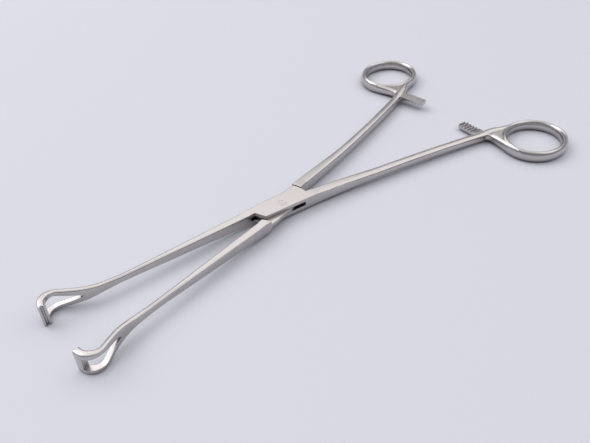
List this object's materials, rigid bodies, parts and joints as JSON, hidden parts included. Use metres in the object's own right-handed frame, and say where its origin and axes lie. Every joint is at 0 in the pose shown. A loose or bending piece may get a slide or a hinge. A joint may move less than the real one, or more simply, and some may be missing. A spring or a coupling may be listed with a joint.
{
  "type": "babcock forceps",
  "caption": "Long steel tissue forceps with windowed, bowed jaws, a box lock, finger rings and a ratchet, lying open.",
  "frame": {"origin": "on the pivot axis, at the flat underside of the box lock", "axes": "+Z along the pivot axis, up as the forceps lie; the jaws point to -X and the finger rings lie at +X; the jaw of the half that holds the pin is on the +Y side"},
  "size_m": [0.2332, 0.1164, 0.0095],
  "materials": {
    "female_half": "satin",
    "male_half": "satin",
    "pivot_pin": "satin"
  },
  "bodies": {
    "holding_half": {"female_half": "female_half", "pivot_pin": "pivot_pin"},
    "crossing_half": {"male_half": "male_half"}
  },
  "joints": [
    {"name": "box_lock", "type": "hinge", "parent": "holding_half", "child": "crossing_half", "pos_m": [0, 0, 0], "axis": [0, 0, 1], "range_deg": [-13.6, 16]}
  ]
}
